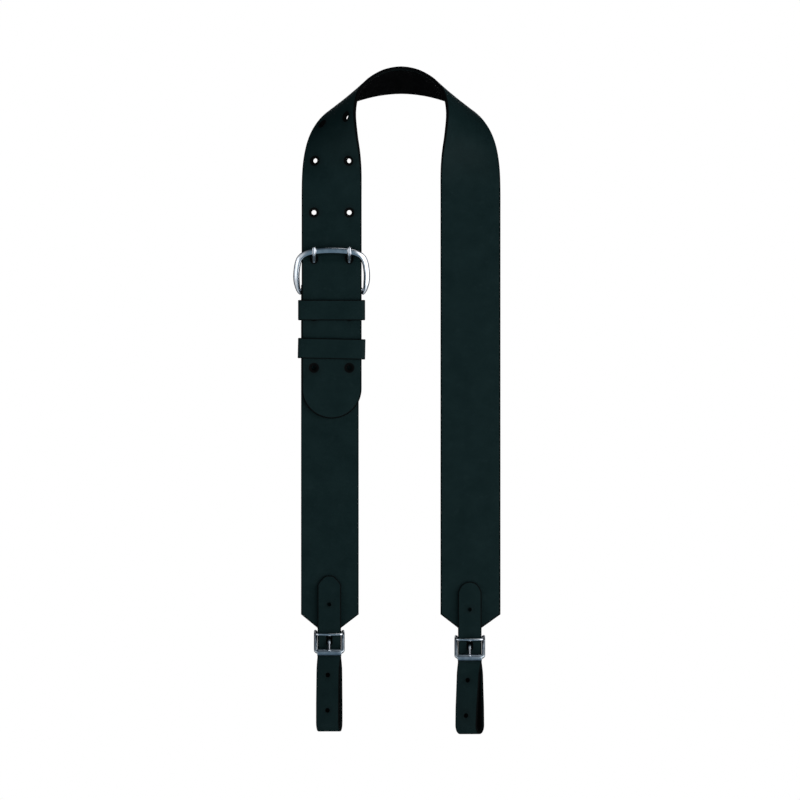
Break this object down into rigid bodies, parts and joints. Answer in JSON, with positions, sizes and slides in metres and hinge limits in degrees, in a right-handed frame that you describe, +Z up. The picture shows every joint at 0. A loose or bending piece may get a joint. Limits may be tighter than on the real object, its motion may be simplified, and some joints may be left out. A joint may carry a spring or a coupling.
{
  "type": "instrument shoulder strap",
  "caption": "Wide black leather instrument strap worn over the neck, with a large adjusting buckle on one leg and a buckled narrow loop at each end.",
  "frame": {"origin": "middle of the crown's flesh side, where the strap lies on the neck", "axes": "+Z up along the hanging legs, -Y towards the grain side that faces the front, +X towards the leg without the main buckle"},
  "size_m": [0.1761, 0.0821, 0.5679],
  "materials": {
    "strap_leather": "smooth black-green leather with a low sheen and black burnished edges",
    "end_leather": "smooth black leather",
    "nickel_plate": "bright nickel plate, lightly worn",
    "plated_steel": "dull plated steel"
  },
  "bodies": {
    "strap": {"long_strap": "strap_leather", "short_strap": "strap_leather", "turnback_rivet_posts": "plated_steel", "turnback_rivet_caps": "plated_steel", "left_end_strap": "end_leather", "left_end_rivet_posts": "plated_steel", "left_end_rivet_caps": "plated_steel", "right_end_strap": "end_leather", "right_end_rivet_posts": "plated_steel", "right_end_rivet_caps": "plated_steel"},
    "upper_keeper": {"upper_keeper": "strap_leather", "upper_keeper_staple": "plated_steel"},
    "lower_keeper": {"lower_keeper": "strap_leather", "lower_keeper_staple": "plated_steel"},
    "main_buckle": {"main_buckle_frame": "nickel_plate"},
    "main_prong_left": {"main_prong_left": "nickel_plate"},
    "main_prong_right": {"main_prong_right": "nickel_plate"},
    "left_end_buckle": {"left_end_buckle_frame": "nickel_plate", "left_end_wire_keeper": "nickel_plate"},
    "left_end_roller": {"left_end_roller": "nickel_plate"},
    "left_end_prong": {"left_end_prong": "nickel_plate"},
    "left_end_loop": {"left_end_loop": "end_leather"},
    "right_end_buckle": {"right_end_buckle_frame": "nickel_plate", "right_end_wire_keeper": "nickel_plate"},
    "right_end_roller": {"right_end_roller": "nickel_plate"},
    "right_end_prong": {"right_end_prong": "nickel_plate"},
    "right_end_loop": {"right_end_loop": "end_leather"}
  },
  "joints": [
    {"name": "upper_keeper_slide", "type": "slide", "parent": "strap", "child": "upper_keeper", "axis": [0, 0, 1], "range_m": [-0.01, 0]},
    {"name": "lower_keeper_slide", "type": "slide", "parent": "strap", "child": "lower_keeper", "axis": [0, 0, 1], "range_m": [-0.02, 0.003]},
    {"name": "main_buckle_hinge", "type": "hinge", "parent": "strap", "child": "main_buckle", "pos_m": [-0.059, -0.03897, -0.17664], "axis": [1, 0, 0], "range_deg": [0, 2]},
    {"name": "main_prong_left_hinge", "type": "hinge", "parent": "main_buckle", "child": "main_prong_left", "pos_m": [-0.074, -0.03897, -0.17664], "axis": [1, 0, 0], "range_deg": [0, 1.5]},
    {"name": "main_prong_right_hinge", "type": "hinge", "parent": "main_buckle", "child": "main_prong_right", "pos_m": [-0.044, -0.03897, -0.17664], "axis": [1, 0, 0], "range_deg": [0, 1.5]},
    {"name": "left_end_buckle_hinge", "type": "hinge", "parent": "strap", "child": "left_end_buckle", "pos_m": [-0.061, -0.04022, -0.46864], "axis": [1, 0, 0], "range_deg": [-4, 0]},
    {"name": "left_end_prong_hinge", "type": "hinge", "parent": "left_end_buckle", "child": "left_end_prong", "pos_m": [-0.061, -0.04022, -0.46864], "axis": [1, 0, 0], "range_deg": [-4, 0]},
    {"name": "left_end_roller_spin", "type": "hinge", "parent": "left_end_buckle", "child": "left_end_roller", "pos_m": [-0.061, -0.05037, -0.48514], "axis": [1, 0, 0], "continuous": true},
    {"name": "left_end_loop_swing", "type": "hinge", "parent": "strap", "child": "left_end_loop", "pos_m": [-0.061, -0.04047, -0.49014], "axis": [1, 0, 0], "range_deg": [-15, 15]},
    {"name": "right_end_buckle_hinge", "type": "hinge", "parent": "strap", "child": "right_end_buckle", "pos_m": [0.0584, -0.04022, -0.47304], "axis": [1, 0, 0], "range_deg": [-4, 0]},
    {"name": "right_end_prong_hinge", "type": "hinge", "parent": "right_end_buckle", "child": "right_end_prong", "pos_m": [0.0584, -0.04022, -0.47304], "axis": [1, 0, 0], "range_deg": [-4, 0]},
    {"name": "right_end_roller_spin", "type": "hinge", "parent": "right_end_buckle", "child": "right_end_roller", "pos_m": [0.0584, -0.05037, -0.48954], "axis": [1, 0, 0], "continuous": true},
    {"name": "right_end_loop_swing", "type": "hinge", "parent": "strap", "child": "right_end_loop", "pos_m": [0.0584, -0.04047, -0.49454], "axis": [1, 0, 0], "range_deg": [-15, 15]}
  ]
}
